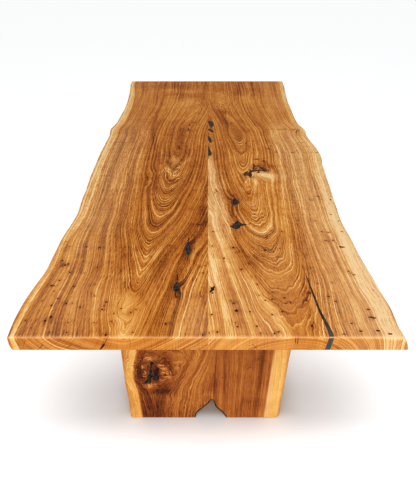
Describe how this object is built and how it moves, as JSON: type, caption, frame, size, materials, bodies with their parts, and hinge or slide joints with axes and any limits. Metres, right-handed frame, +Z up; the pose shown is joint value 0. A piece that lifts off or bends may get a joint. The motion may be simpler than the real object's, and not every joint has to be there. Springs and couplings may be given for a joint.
{
  "type": "live edge dining table",
  "caption": "Long dining table: a top of two book-matched live edge boards with black resin in its knots and split, on two slab legs with a notched foot.",
  "frame": {"origin": "on the floor, under the middle of the top's outline", "axes": "+Z up, +Y along the table towards the far end, +X across it to the right of someone who stands at the near end and looks along +Y"},
  "size_m": [1.0769, 2.7, 0.75],
  "materials": {
    "elm_top": "oiled elm, satin",
    "elm_leg": "oiled elm, satin",
    "beech_tenon": "plain beech",
    "black_resin": "black epoxy, sanded flush and polished",
    "black_steel": "black powder coat",
    "zinc_steel": "zinc plated",
    "black_nylon": "black nylon, matt"
  },
  "bodies": {
    "root": {"left_board": "elm_top", "right_board": "elm_top", "seam_tenons": "beech_tenon", "split_resin": "black_resin", "seam_knot_resin": "black_resin", "right_knot_resin": "black_resin", "left_knot_resin": "black_resin", "near_channel": "black_steel", "middle_channel": "black_steel", "far_channel": "black_steel", "channel_bolts": "zinc_steel", "channel_washers": "zinc_steel", "channel_inserts": "zinc_steel", "near_leg_plate": "black_steel", "far_leg_plate": "black_steel", "plate_bolts": "zinc_steel", "plate_washers": "zinc_steel", "plate_inserts": "zinc_steel", "leg_bolts": "zinc_steel", "leg_barrel_nuts": "zinc_steel", "near_leg": "elm_leg", "far_leg": "elm_leg", "near_leg_resin": "black_resin", "far_leg_resin": "black_resin", "near_notch_lining": "black_resin", "far_notch_lining": "black_resin", "glide_strips": "black_nylon", "glide_screws": "zinc_steel"}
  },
  "joints": []
}
